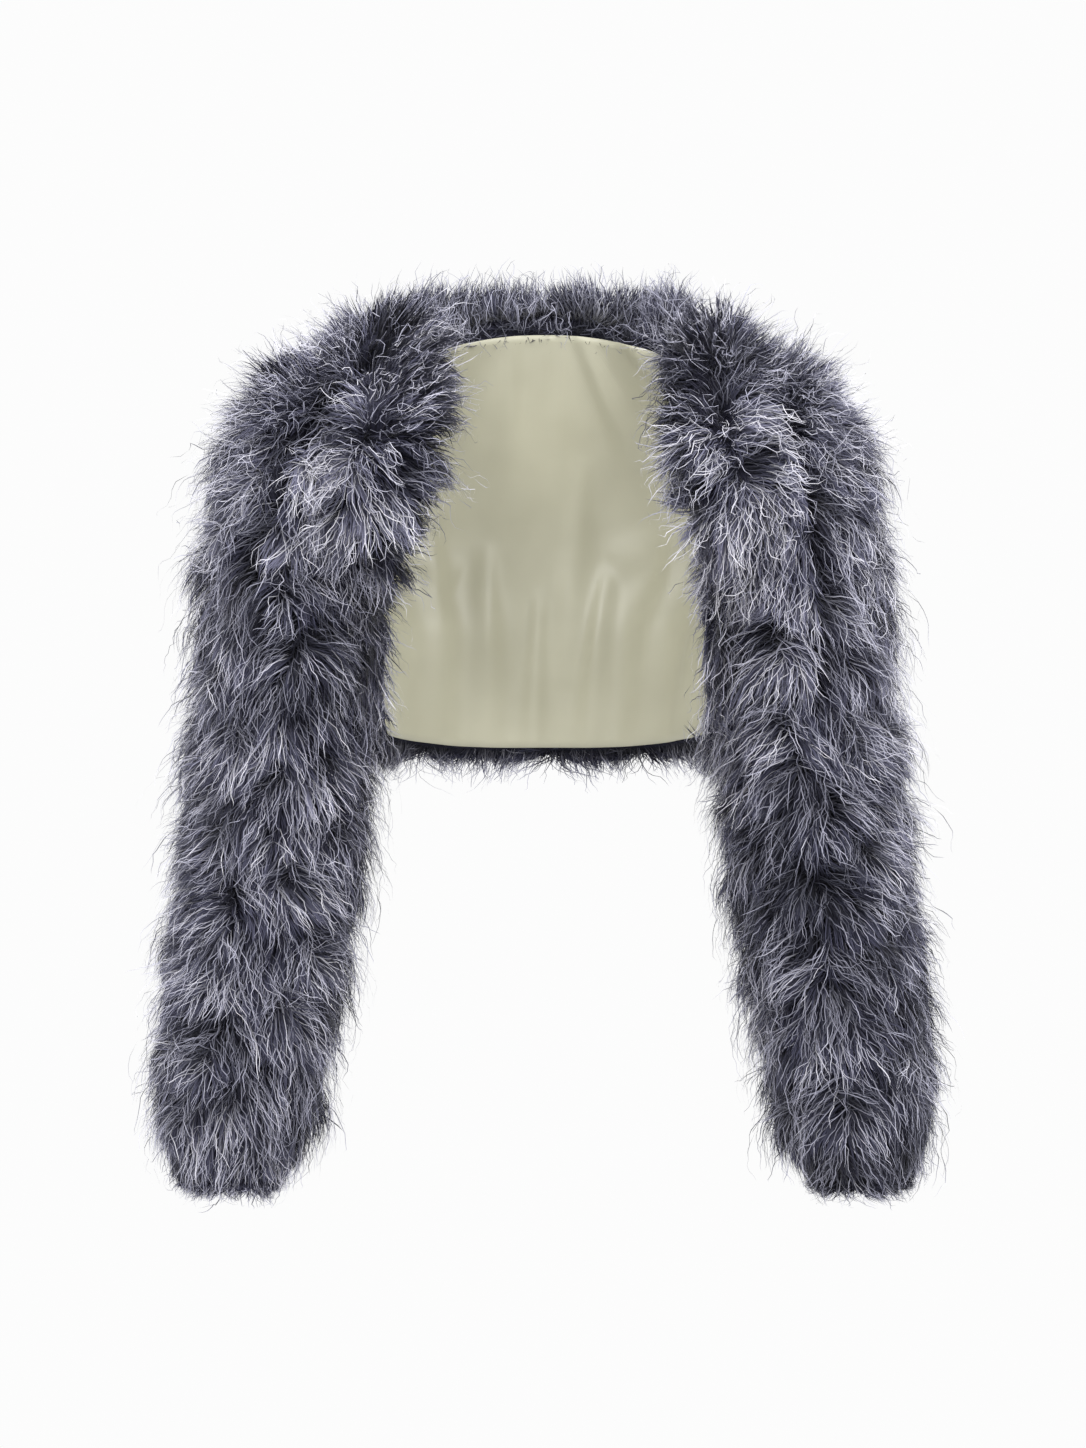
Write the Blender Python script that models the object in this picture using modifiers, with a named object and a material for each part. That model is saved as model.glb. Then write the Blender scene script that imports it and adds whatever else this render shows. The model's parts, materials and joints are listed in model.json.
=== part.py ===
"""A feather bolero, worn and hollow: a short open jacket with long sleeves, in deep feather pile
on a cloth base, lined with satin.

Metres. +Z is up, +X is the wearer's left and -Y the wearer's front. The origin is the middle of
the shoulder line, where the bolero hangs on its wearer.

Each outer piece is one wall from its cloth to the tips of its pile. Pieces that meet at a seam
share that seam's points, so their walls face each other across SEAM_GAP.
"""

import math

import bpy
import numpy as np

SEAM_GAP = 0.0003
LINING_GAP = 0.0005
LINING_THICKNESS = 0.0012

# How far the pile reaches past the cloth at each free edge
NECK_REACH = 0.042
FRONT_REACH = 0.020
HEM_REACH = 0.016
CUFF_REACH = 0.024
# The pile rolls over a free edge along this much cloth, and is this share of its depth at the end
ROLL_LENGTH = 0.045
FRONT_ROLL_LENGTH = 0.030
EDGE_DEPTH = 0.15

# At the front and back of an armhole the pile parts in a valley, this share of its depth deep,
# and leans down over this much of the sleeve
VALLEY = 0.12
VALLEY_WIDTH = 0.030
SEAM_LEAN = 0.024
LEAN_LENGTH = 0.20
# Beside a seam, the pile goes from the seam's depth to the piece's own over this much cloth
SEAM_WIDTH = 0.050
# There a tip goes no further towards the seam than this share of its root's distance
TIP_SLANT = 0.40
# How often the pile's directions, and then its tips, are evened out between a piece's seams
LEAN_PASSES = 40
PILE_PASSES = 4

# Staggered tufts raise the pile by this much where it is FULL_DEPTH deep. They repeat over this
# length and width, or this many times round a sleeve.
TUFT_RISE = 0.0045
FULL_DEPTH = 0.042
TUFT_LENGTH = 0.092
TUFT_WIDTH = 0.098
TUFTS_ROUND = 5
# A finer set that makes them uneven, and its share of their rise
UNEVEN = 0.45
UNEVEN_LENGTH = 0.063
UNEVEN_WIDTH = 0.069
UNEVEN_ROUND = 7

# Steps along each seam, on the pile side. The cloth side has one step for every two of these.
ARMHOLE_STEPS = 20
SIDE_STEPS = 8
SHOULDER_STEPS = 10
NECK_STEPS = 14
SLEEVE_STEPS = 32
COARSER = 2

# A sleeve's rings, from the armhole to the cuff. Each has an inner point, by the body, and an
# outer point, both at mid_y, half its size front to back, and the pile's depth on three sides.
SLEEVE_COLUMNS = (
    "in_x", "in_z", "out_x", "out_z", "half", "mid_y", "pile_out", "pile_in", "pile_side",
)
SLEEVE_RINGS = (
    (0.1480, -0.1900, 0.1780, -0.030, 0.0570, 0.002, 0.060, 0.0025, 0.042),
    (0.1502, -0.1925, 0.2050, -0.037, 0.0560, 0.001, 0.058, 0.0035, 0.043),
    (0.1530, -0.1955, 0.2240, -0.062, 0.0540, 0.000, 0.055, 0.0035, 0.043),
    (0.1560, -0.1995, 0.2370, -0.100, 0.0525, -0.001, 0.053, 0.0055, 0.043),
    (0.1585, -0.2050, 0.2440, -0.150, 0.0515, -0.002, 0.044, 0.0080, 0.042),
    (0.1600, -0.2150, 0.2470, -0.200, 0.0505, -0.003, 0.041, 0.0095, 0.041),
    (0.1620, -0.2500, 0.2485, -0.250, 0.0480, -0.004, 0.040, 0.0115, 0.041),
    (0.1665, -0.3000, 0.2555, -0.300, 0.0465, -0.006, 0.040, 0.0205, 0.041),
    (0.1740, -0.3450, 0.2575, -0.345, 0.0445, -0.009, 0.041, 0.0340, 0.040),
    (0.1830, -0.4200, 0.2690, -0.420, 0.0430, -0.014, 0.040, 0.0370, 0.040),
    (0.2000, -0.5000, 0.2785, -0.500, 0.0400, -0.020, 0.039, 0.0370, 0.039),
    (0.2130, -0.5700, 0.2830, -0.570, 0.0370, -0.026, 0.038, 0.0370, 0.038),
    (0.2220, -0.6200, 0.2845, -0.620, 0.0340, -0.030, 0.036, 0.0350, 0.036),
    (0.2260, -0.6400, 0.2840, -0.640, 0.0320, -0.031, 0.032, 0.0320, 0.032),
)

# Edges of the cloth on the wearer's left, as x, y, z
NECK_CORNER = (0.121, 0.001, 0.005)
BACK_NECK = (
    (0.000, 0.074, 0.042),
    (0.030, 0.071, 0.041),
    (0.057, 0.062, 0.036),
    (0.086, 0.042, 0.028),
    (0.108, 0.020, 0.016),
    NECK_CORNER,
)
SHOULDER_MIDDLE = (0.150, 0.001, -0.011)
FRONT_EDGE = (
    NECK_CORNER,
    (0.114, -0.028, -0.009),
    (0.107, -0.058, -0.041),
    (0.111, -0.082, -0.081),
    (0.125, -0.085, -0.130),
    (0.137, -0.054, -0.187),
    (0.1355, -0.041, -0.230),
    (0.1345, -0.037, -0.262),
)
# The share of the front edge that lies beside the armhole
FRONT_UNDERARM = 0.86
SIDE_CORNER = (0.128, 0.005, -0.290)
FRONT_HEM = (FRONT_EDGE[-1], (0.1325, -0.015, -0.279), SIDE_CORNER)
SIDE_SEAM_BELOW_ARM = (
    (0.1385, 0.003, -0.204),
    (0.1355, 0.004, -0.230),
    (0.1320, 0.005, -0.262),
    SIDE_CORNER,
)
CENTRE_BACK = (
    BACK_NECK[0],
    (0.000, 0.092, -0.010),
    (0.000, 0.101, -0.090),
    (0.000, 0.099, -0.180),
    (0.000, 0.092, -0.300),
)
BACK_HEM = (
    CENTRE_BACK[-1],
    (0.045, 0.088, -0.300),
    (0.085, 0.072, -0.298),
    (0.113, 0.043, -0.294),
    SIDE_CORNER,
)

# How much sooner than evenly the back loses the curve of its neck, on the way down
BACK_NECK_FADE = 2.5

# The pile of the shoulder seam: its depth and direction at the neck and at the armhole, and how
# far it reaches past the neck corner
SHOULDER_PILE = (0.066, 0.060)
SHOULDER_LEAN = ((0.45, 0.0, 0.89), (0.184, 0.0, 0.98))
NECK_CORNER_RISE = (-0.016, 0.0, 0.028)
# The pile of the side seam, from the underarm down: its depth and direction
SIDE_PILE = (0.0025, 0.0040, 0.0065, 0.0110, 0.0160)
SIDE_LEAN = (
    (0.00, 0.0, -1.00),
    (0.90, 0.0, -0.43),
    (0.98, 0.0, -0.20),
    (1.00, 0.0, -0.10),
    (1.00, 0.0, 0.00),
)
# The depth of the pile down a front and down the back, from shoulder to hem
FRONT_PILE = (0.064, 0.062, 0.062, 0.048, 0.013, 0.008, 0.011)
BACK_PILE = (0.056, 0.050, 0.047, 0.045, 0.044, 0.043, 0.042)

FEATHER = ("dyed_feathers", (0.115, 0.125, 0.150), 0.75)
SATIN = ("cream_satin", (0.560, 0.520, 0.380), 0.35)

# Points of the two halves of the back this near each other are joined
MERGE_DISTANCE = 0.00005


def unit(vectors):
    return vectors / np.linalg.norm(vectors, axis=-1, keepdims=True)


def distances(points):
    """How far along a row of points each one lies."""
    steps = np.linalg.norm(np.diff(points, axis=0), axis=-1)
    return np.concatenate([np.zeros_like(steps[:1]), np.cumsum(steps, axis=0)])


def across_distances(points):
    """How far along its row each point of a grid lies."""
    return distances(points.swapaxes(0, 1)).T


def through(places, rows, at):
    """What smooth curves through rows, which stand at places, give at other places."""
    rows = np.asarray(rows, float)
    slopes = np.gradient(rows, places, axis=0)
    first = np.clip(np.searchsorted(places, at, side="right") - 1, 0, len(places) - 2)
    span = (places[first + 1] - places[first])[:, None]
    t = (at - places[first])[:, None] / span
    start = (2 * t**3 - 3 * t**2 + 1) * rows[first] + (t**3 - 2 * t**2 + t) * span * slopes[first]
    end = (3 * t**2 - 2 * t**3) * rows[first + 1] + (t**3 - t**2) * span * slopes[first + 1]
    return start + end


def along(rows, shares):
    """Points on the smooth curve through rows, at these shares of its length."""
    rows = np.asarray(rows, float)
    places = distances(rows)
    return through(places, rows, shares * places[-1])


def evenly(rows, steps):
    """Evenly spaced points on the smooth curve through rows."""
    return along(rows, np.linspace(0, 1, steps + 1))


def spread(numbers, steps):
    """A short list of numbers, stretched smoothly over a seam's points."""
    places = np.linspace(0, 1, len(numbers))
    return through(places, np.asarray(numbers, float)[:, None], np.linspace(0, 1, steps + 1))[:, 0]


def roll(distance, length=ROLL_LENGTH):
    """How upright the pile stands this far from a free edge, and how much of it leans past."""
    turn = np.clip(distance / length, 0, 1) * math.pi / 2
    return EDGE_DEPTH + (1 - EDGE_DEPTH) * np.sin(turn), np.cos(turn)


def tufts(down, across, length, width, fine_length, fine_width):
    """The rise of staggered tufts, from -1 to 1, over a finer uneven set."""
    even = np.cos(down * math.tau / length) * np.cos(across * math.tau / width)
    uneven = np.sin(down * math.tau / fine_length + 1) * np.cos(across * math.tau / fine_width + 2)
    return even + UNEVEN * uneven


def sleeve_rings():
    """Points of a sleeve's cloth, from each the way to the tip of its pile, and outward normals.
    Each ring starts at its outer point and goes round by the front."""
    table = np.array(SLEEVE_RINGS)
    length = distances(table[:, [2, 3]])
    down = np.linspace(0, length[-1], SLEEVE_STEPS + 1)
    ring = dict(zip(SLEEVE_COLUMNS, through(length, table, down).T[:, :, None]))
    down = down[:, None]
    turn = np.linspace(0, math.tau, 2 * ARMHOLE_STEPS + 1)[None, :-1]
    cosine, sine = np.cos(turn), np.sin(turn)
    half_x = (ring["out_x"] - ring["in_x"]) / 2
    half_z = (ring["out_z"] - ring["in_z"]) / 2
    x = ring["in_x"] + half_x * (1 + cosine)
    y = ring["mid_y"] - ring["half"] * sine
    z = ring["in_z"] + half_z * (1 + cosine)
    points = np.stack([x, y, z], axis=-1)

    reach = np.hypot(half_x, half_z)
    level = np.zeros_like(x)
    steep = cosine / reach**2
    outward = np.stack([half_x * steep, -sine / ring["half"], half_z * steep], axis=-1)
    onward = np.stack([half_z / reach + level, level, -half_x / reach + level], axis=-1)
    outer_depth = ring["pile_side"] * sine**2 + ring["pile_out"] * cosine**2
    inner_depth = ring["pile_in"] + (ring["pile_side"] - ring["pile_in"]) * sine**4
    depth = np.where(cosine > 0, outer_depth, inner_depth)
    depth = depth * (1 - VALLEY * sine**2 * np.exp(-((down / VALLEY_WIDTH) ** 2)))
    upright, past = roll(length[-1] - down)
    width, fine_width = math.tau / TUFTS_ROUND, math.tau / UNEVEN_ROUND
    rise = tufts(down, turn, TUFT_LENGTH, width, UNEVEN_LENGTH, fine_width)
    rise *= np.clip(depth / FULL_DEPTH, 0, 1) ** 2 * (down > 0)
    depth = depth * upright + TUFT_RISE * rise
    lean = SEAM_LEAN * sine**4 * np.clip(1 - down / LEAN_LENGTH, 0, 1) ** 2
    pile = unit(outward) * depth[..., None] + onward * (lean + CUFF_REACH * past)[..., None]
    normal = unit(outward)
    normal[0] = unit(pile[0])
    return points, pile, normal


class Seam:
    """A line that two pieces share: its cloth points, its pile, and the way that each piece
    draws back from the other. The first piece goes with apart, the second against it."""

    def __init__(self, points, pile, apart):
        self.points = points
        self.pile = pile
        self.apart = apart * SEAM_GAP / 2


def across_seam(points, pile, ahead):
    """Unit vectors square to the face between a seam's cloth and its tips, on the side of ahead."""
    square = unit(np.cross(np.gradient(points, axis=0), pile))
    return square * np.sign(np.sum(square * ahead, axis=-1, keepdims=True))


def armhole_seam(points, pile):
    """The whole armhole, round from the shoulder by the front. The sleeve goes with apart."""
    tangent = np.roll(points, -1, axis=0) - np.roll(points, 1, axis=0)
    square = unit(np.cross(tangent, pile))
    return Seam(points, pile, square * np.sign(square[:, :1]))


def shoulder_seam(armhole):
    """From the neck to the armhole. The front goes with apart."""
    points = evenly((NECK_CORNER, SHOULDER_MIDDLE, armhole.points[0]), SHOULDER_STEPS)
    share = np.linspace(0, 1, SHOULDER_STEPS + 1)[:, None]
    lean = unit((1 - share) * np.array(SHOULDER_LEAN[0]) + share * np.array(SHOULDER_LEAN[1]))
    depth = (1 - share) * SHOULDER_PILE[0] + share * SHOULDER_PILE[1]
    upright, past = roll(distances(points)[:, None])
    pile = lean * depth * upright + past * np.array(NECK_CORNER_RISE)
    pile[-1] = armhole.pile[0]
    return Seam(points, pile, across_seam(points, pile, np.array((0.0, -1.0, 0.0))))


def side_seam(armhole):
    """From the underarm to the hem. The front goes with apart."""
    underarm = armhole.points[ARMHOLE_STEPS]
    points = evenly((underarm, *SIDE_SEAM_BELOW_ARM), SIDE_STEPS)
    depth = spread(SIDE_PILE, SIDE_STEPS)[:, None]
    lean = np.stack([spread(part, SIDE_STEPS) for part in zip(*SIDE_LEAN)], axis=-1)
    down = distances(points)
    upright, past = roll((down[-1] - down)[:, None])
    pile = unit(lean) * depth * upright + past * HEM_REACH * np.array((0.0, 0.0, -1.0))
    pile[0] = armhole.pile[ARMHOLE_STEPS]
    return Seam(points, pile, across_seam(points, pile, np.array((0.0, -1.0, 0.0))))


def coons(top, bottom, start, end, top_fade=1):
    """The patch inside four edges: top and bottom go across it, start and end down it. A higher
    top_fade lets the shape of the top edge fade sooner on the way down."""
    u = np.linspace(0, 1, len(top))[None, :, None]
    v = 1 - (1 - np.linspace(0, 1, len(start))[:, None, None]) ** top_fade
    ruled = (1 - v) * top[None] + v * bottom[None] + (1 - u) * start[:, None] + u * end[:, None]
    corners = (1 - v) * ((1 - u) * top[0] + u * top[-1]) + v * ((1 - u) * bottom[0] + u * bottom[-1])
    return ruled - corners


def settle(vectors, held, passes):
    """Lets each vector turn towards its neighbours, apart from those that are held."""
    for _ in range(passes):
        wide = np.pad(vectors, ((1, 1), (1, 1), (0, 0)), mode="edge")
        mean = (wide[2:, 1:-1] + wide[:-2, 1:-1] + wide[1:-1, 2:] + wide[1:-1, :-2]) / 4
        vectors = np.where(held[..., None], vectors, (vectors + mean) / 2)
    return vectors


def from_seam(depth, seam_pile, distance):
    """Pile depths that start from the depth along a piece's last column."""
    share = np.clip(distance / SEAM_WIDTH, 0, 1)
    share = share**2 * (3 - 2 * share)
    return (1 - share) * np.linalg.norm(seam_pile, axis=-1)[:, None] + share * depth


def held_back(pile, points, towards):
    """Keeps a piece's tips on its own side of the seams along its last column. towards points
    over them to the next piece."""
    spans = np.linalg.norm(points[:, :, None] - points[None, None, :, -1], axis=-1)
    square = towards[np.argmin(spans, axis=-1)]
    over = np.sum(pile * square, axis=-1) - np.min(spans, axis=-1) * TIP_SLANT
    return pile - np.maximum(over, 0)[..., None] * square


def back_half(armhole, shoulder, side):
    """Cloth, pile and outward normals of the back's left half, from the centre to the armhole and
    side seam."""
    neck = evenly(BACK_NECK, NECK_STEPS)
    top = np.concatenate([neck[:-1], shoulder.points])
    round_back = np.roll(armhole.points[::-1], 1, axis=0)[: ARMHOLE_STEPS + 1]
    round_pile = np.roll(armhole.pile[::-1], 1, axis=0)[: ARMHOLE_STEPS + 1]
    round_apart = np.roll(armhole.apart[::-1], 1, axis=0)[: ARMHOLE_STEPS + 1]
    end = np.concatenate([round_back, side.points[1:]])
    start = evenly(CENTRE_BACK, ARMHOLE_STEPS + SIDE_STEPS)
    bottom = evenly(BACK_HEM, NECK_STEPS + SHOULDER_STEPS)
    points = coons(top, bottom, start, end, BACK_NECK_FADE)

    down, across = np.gradient(points, axis=0), np.gradient(points, axis=1)
    normal = unit(np.cross(across, down))
    from_top, from_centre = distances(points), across_distances(points)
    beside_neck = np.clip(1 - (np.arange(len(top)) - NECK_STEPS) / SHOULDER_STEPS, 0, 1)[None]
    neck_upright, neck_past = roll(from_top)
    hem_upright, hem_past = roll(from_top[-1] - from_top)
    depth = np.repeat(spread(BACK_PILE, len(start) - 1)[:, None], len(top), axis=1)
    round_and_side = np.concatenate([round_pile, side.pile[1:]])
    depth = from_seam(depth, round_and_side, from_centre[:, -1:] - from_centre)
    rise = tufts(from_top, from_centre, TUFT_LENGTH, TUFT_WIDTH, UNEVEN_LENGTH, UNEVEN_WIDTH)
    rise *= depth / FULL_DEPTH
    depth = depth * (1 - beside_neck * (1 - neck_upright)) * hem_upright + TUFT_RISE * rise
    held = np.zeros(points.shape[:2], bool)
    held[0, NECK_STEPS:] = True
    held[:, -1] = True
    normal[0, NECK_STEPS:] = unit(shoulder.pile)
    normal[:, -1] = unit(round_and_side)
    normal[:, 0, 0] = 0
    pile = unit(settle(normal, held, LEAN_PASSES)) * depth[..., None]
    pile[..., 2] += NECK_REACH * neck_past * beside_neck
    pile += unit(down[-1:]) * (HEM_REACH * hem_past)[..., None]
    pile[0, NECK_STEPS:] = shoulder.pile
    pile[:, -1] = round_and_side
    pile = settle(pile, held, PILE_PASSES)
    towards = unit(np.concatenate([round_apart, side.apart[1:]]))
    pile = held_back(pile, points, towards)
    pile[:, 0, 0] = 0
    points[0, NECK_STEPS:] -= shoulder.apart
    points[: ARMHOLE_STEPS + 1, -1] -= round_apart
    points[ARMHOLE_STEPS:, -1] -= side.apart
    return points, pile, normal


def front(armhole, shoulder, side):
    """Cloth, pile and outward normals of a front, from its free edge to the armhole and side
    seam."""
    end = np.concatenate([armhole.points[: ARMHOLE_STEPS + 1], side.points[1:]])
    beside_armhole = np.linspace(0, FRONT_UNDERARM, ARMHOLE_STEPS + 1)
    below = np.linspace(FRONT_UNDERARM, 1, SIDE_STEPS + 1)[1:]
    start = along(FRONT_EDGE, np.concatenate([beside_armhole, below]))
    bottom = evenly(FRONT_HEM, SHOULDER_STEPS)
    points = coons(shoulder.points, bottom, start, end)

    down, across = np.gradient(points, axis=0), np.gradient(points, axis=1)
    normal = unit(np.cross(down, across))
    from_top = distances(points)
    from_edge = across_distances(points)
    edge_upright, edge_past = roll(from_edge, FRONT_ROLL_LENGTH)
    hem_upright, hem_past = roll(from_top[-1] - from_top)
    depth = np.repeat(spread(FRONT_PILE, len(start) - 1)[:, None], len(bottom), axis=1)
    round_and_side = np.concatenate([armhole.pile[: ARMHOLE_STEPS + 1], side.pile[1:]])
    depth = from_seam(depth, round_and_side, from_edge[:, -1:] - from_edge)
    rise = tufts(from_top, from_edge, TUFT_LENGTH, TUFT_WIDTH, UNEVEN_LENGTH, UNEVEN_WIDTH)
    rise *= np.clip(depth / FULL_DEPTH, 0, 1) ** 2
    depth = depth * edge_upright * hem_upright + TUFT_RISE * rise
    held = np.zeros(points.shape[:2], bool)
    held[0] = True
    held[:, -1] = True
    normal[0] = unit(shoulder.pile)
    normal[:, -1] = unit(round_and_side)
    pile = unit(settle(normal, held, LEAN_PASSES)) * depth[..., None]
    pile -= unit(across[:, :1]) * (FRONT_REACH * edge_past)[..., None]
    pile += unit(down[-1:]) * (HEM_REACH * hem_past)[..., None]
    pile[0] = shoulder.pile
    pile[:, -1] = round_and_side
    pile = settle(pile, held, PILE_PASSES)
    towards = unit(np.concatenate([armhole.apart[: ARMHOLE_STEPS + 1], -side.apart[1:]]))
    pile = held_back(pile, points, towards)
    points[0] += shoulder.apart
    points[: ARMHOLE_STEPS + 1, -1] -= armhole.apart[: ARMHOLE_STEPS + 1]
    points[ARMHOLE_STEPS:, -1] += side.apart
    return points, pile, normal


def turned_over(faces):
    """The same faces seen from behind. Each keeps its first corner, and so its diagonal."""
    return [(face[0], *face[:0:-1]) for face in faces]


def grid_faces(first, rows, columns, loop):
    """Quads over a grid of points numbered from first, row by row."""
    faces = []
    for i in range(rows - 1):
        for j in range(columns if loop else columns - 1):
            right = (j + 1) % columns
            here, below = first + i * columns, first + (i + 1) * columns
            faces.append((here + j, below + j, below + right, here + right))
    return faces


def rim_faces(outer, inner):
    """Faces between an edge of the outer grid and that of the inner grid, with as many points or
    half as many."""
    faces = []
    ratio = (len(outer) - 1) // (len(inner) - 1)
    for k in range(len(inner) - 1):
        part = outer[k * ratio : k * ratio + ratio + 1]
        if ratio == 1:
            faces.append((part[0], inner[k], inner[k + 1], part[1]))
            continue
        faces.append((part[0], inner[k], part[1]))
        faces.append((part[1], inner[k], inner[k + 1]))
        faces.append((part[1], inner[k + 1], part[2]))
    return faces


def closed_wall(outer, inner, loop=False, open_start=False):
    """Vertices and faces of the wall between two grids. A loop's rows close on themselves, and
    open_start leaves out the rim along the first column."""
    rows, columns = outer.shape[:2]
    inner_rows, inner_columns = inner.shape[:2]
    base = rows * columns
    outside = np.arange(base).reshape(rows, columns)
    inside = base + np.arange(inner_rows * inner_columns).reshape(inner_rows, inner_columns)
    faces = grid_faces(0, rows, columns, loop)
    faces += turned_over(grid_faces(base, inner_rows, inner_columns, loop))
    if loop:
        outside = np.concatenate([outside, outside[:, :1]], axis=1)
        inside = np.concatenate([inside, inside[:, :1]], axis=1)
    faces += turned_over(rim_faces(outside[0], inside[0]))
    faces += rim_faces(outside[-1], inside[-1])
    if not loop:
        faces += turned_over(rim_faces(outside[:, -1], inside[:, -1]))
    if not (loop or open_start):
        faces += rim_faces(outside[:, 0], inside[:, 0])
    vertices = np.concatenate([outer.reshape(-1, 3), inner.reshape(-1, 3)])
    return vertices, [tuple(int(corner) for corner in face) for face in faces]


def material(name, colour, roughness):
    made = bpy.data.materials.new(name)
    made.use_nodes = True
    shader = made.node_tree.nodes["Principled BSDF"]
    shader.inputs["Base Color"].default_value = (*colour, 1)
    shader.inputs["Roughness"].default_value = roughness
    shader.inputs["Metallic"].default_value = 0
    made.diffuse_color = (*colour, 1)
    return made


def add_piece(name, vertices, faces, finish, collection, mirrored=False, turned=False):
    """Makes a piece's object. mirrored puts it on the wearer's right."""
    if mirrored:
        vertices = vertices * np.array((-1.0, 1.0, 1.0))
    if mirrored != turned:
        faces = turned_over(faces)
    mesh = bpy.data.meshes.new(name)
    mesh.from_pydata([tuple(vertex) for vertex in vertices], [], faces)
    mesh.validate()
    mesh.shade_smooth()
    mesh.materials.append(finish)
    piece = bpy.data.objects.new(name, mesh)
    collection.objects.link(piece)
    return piece


def whole_from_half(piece):
    mirror = piece.modifiers.new("Mirror", "MIRROR")
    mirror.merge_threshold = MERGE_DISTANCE


def wall_and_lining(points, pile, normal, **options):
    """The piece's wall, from its cloth to its pile tips, and the lining inside that cloth."""
    cloth = points[::COARSER, ::COARSER]
    inward = -normal[::COARSER, ::COARSER]
    wall = closed_wall(points + pile, cloth, **options)
    outside = cloth + inward * LINING_GAP
    lining = closed_wall(outside, outside + inward * LINING_THICKNESS, **options)
    return wall, lining


def build():
    for obj in list(bpy.data.objects):
        bpy.data.objects.remove(obj)
    bolero = bpy.data.collections.new("feather_bolero")
    bpy.context.scene.collection.children.link(bolero)
    feathers = material(*FEATHER)
    satin = material(*SATIN)

    rings, ring_pile, ring_normal = sleeve_rings()
    armhole = armhole_seam(rings[0].copy(), ring_pile[0])
    shoulder = shoulder_seam(armhole)
    side = side_seam(armhole)
    rings[0] += armhole.apart

    wall, lining = wall_and_lining(*back_half(armhole, shoulder, side), open_start=True)
    whole_from_half(add_piece("back", *wall, feathers, bolero, turned=True))
    whole_from_half(add_piece("lining_back", *lining, satin, bolero, turned=True))
    front_wall, front_lining = wall_and_lining(*front(armhole, shoulder, side))
    sleeve_wall, sleeve_lining = wall_and_lining(rings, ring_pile, ring_normal, loop=True)
    for name, mirrored in (("left", False), ("right", True)):
        add_piece("front_" + name, *front_wall, feathers, bolero, mirrored)
        add_piece("lining_front_" + name, *front_lining, satin, bolero, mirrored)
        add_piece("sleeve_" + name, *sleeve_wall, feathers, bolero, mirrored, turned=True)
        add_piece("lining_sleeve_" + name, *sleeve_lining, satin, bolero, mirrored, turned=True)


build()
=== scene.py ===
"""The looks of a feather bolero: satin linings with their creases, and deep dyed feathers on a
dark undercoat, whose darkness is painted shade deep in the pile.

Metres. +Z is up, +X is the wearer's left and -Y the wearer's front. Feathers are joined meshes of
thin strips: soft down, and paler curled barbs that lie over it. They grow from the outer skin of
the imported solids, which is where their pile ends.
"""

import json
import math
from functools import partial
from types import SimpleNamespace

import bmesh
import bpy
import numpy as np
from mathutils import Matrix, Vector
from mathutils.bvhtree import BVHTree
from mathutils.kdtree import KDTree

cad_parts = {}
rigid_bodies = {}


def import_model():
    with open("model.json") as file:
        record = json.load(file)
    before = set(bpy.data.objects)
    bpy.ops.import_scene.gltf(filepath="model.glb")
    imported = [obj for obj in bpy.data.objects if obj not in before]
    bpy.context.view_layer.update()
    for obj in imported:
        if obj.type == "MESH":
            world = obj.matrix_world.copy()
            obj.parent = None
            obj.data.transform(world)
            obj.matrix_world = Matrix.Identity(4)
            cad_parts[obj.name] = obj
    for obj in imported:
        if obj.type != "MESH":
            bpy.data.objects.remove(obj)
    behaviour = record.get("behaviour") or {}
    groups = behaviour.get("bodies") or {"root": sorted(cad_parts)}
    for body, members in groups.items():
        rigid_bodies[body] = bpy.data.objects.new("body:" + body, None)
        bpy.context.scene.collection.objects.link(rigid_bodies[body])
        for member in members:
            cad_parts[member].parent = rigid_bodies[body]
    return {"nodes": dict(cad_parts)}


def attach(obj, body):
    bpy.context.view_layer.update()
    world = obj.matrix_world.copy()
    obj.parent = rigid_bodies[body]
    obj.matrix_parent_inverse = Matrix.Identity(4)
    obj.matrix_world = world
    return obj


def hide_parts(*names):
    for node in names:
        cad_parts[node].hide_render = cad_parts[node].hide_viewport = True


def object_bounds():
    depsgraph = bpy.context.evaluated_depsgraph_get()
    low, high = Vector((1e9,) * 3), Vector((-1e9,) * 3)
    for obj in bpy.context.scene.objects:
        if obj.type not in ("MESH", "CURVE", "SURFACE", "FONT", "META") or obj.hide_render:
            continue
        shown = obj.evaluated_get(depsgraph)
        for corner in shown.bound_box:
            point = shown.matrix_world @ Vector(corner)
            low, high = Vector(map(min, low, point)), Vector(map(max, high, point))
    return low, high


for startup in list(bpy.data.objects):
    bpy.data.objects.remove(startup)
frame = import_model()
cad_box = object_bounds()

WALLS = ("back", "front_left", "front_right", "sleeve_left", "sleeve_right")
FEATHER_SLOT = "dyed_feathers"
SATIN_SLOT = "cream_satin"

# The photograph: its size, the pixel that shows the origin, and what one pixel spans there
PHOTO_WIDE, PHOTO_HIGH = 1086, 1448
ORIGIN_PIXEL = (545, 380)
PIXEL = 0.000815
CAMERA_DISTANCE = 4.5
SENSOR = 36.0

# A face this near another node is a seam or lies on a lining, and the pile doesn't show there
COVERED = 0.0012
WELD = 0.0008
# How often the skin's normals are evened out
NORMAL_PASSES = 1
# How far past the solids' box a soft finish is kept, as a share of its sides and on top of that
SOFT_SHARE = 0.03
SOFT_MARGIN = 0.008

# Where the pile is shallower than this, at the open edges, feathers are denser and shorter, and
# round the neck they are turned all ways, so that they cover the edge
RIM_DEPTH = 0.016
RIM_DENSITY = 0.8
RIM_TURN = 1.3
RIM_LENGTH = 0.7

# How far under the skin the dark undercoat lies, as a share of the pile and at the most, how near
# another wall it has to be to lie less deep, and how much it rises where the feathers do
UNDERCOAT_SHARE = 0.5
UNDERCOAT_DEPTH = 0.018
NEIGHBOUR = 0.03
UNDERCOAT_RISE = 0.6

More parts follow.
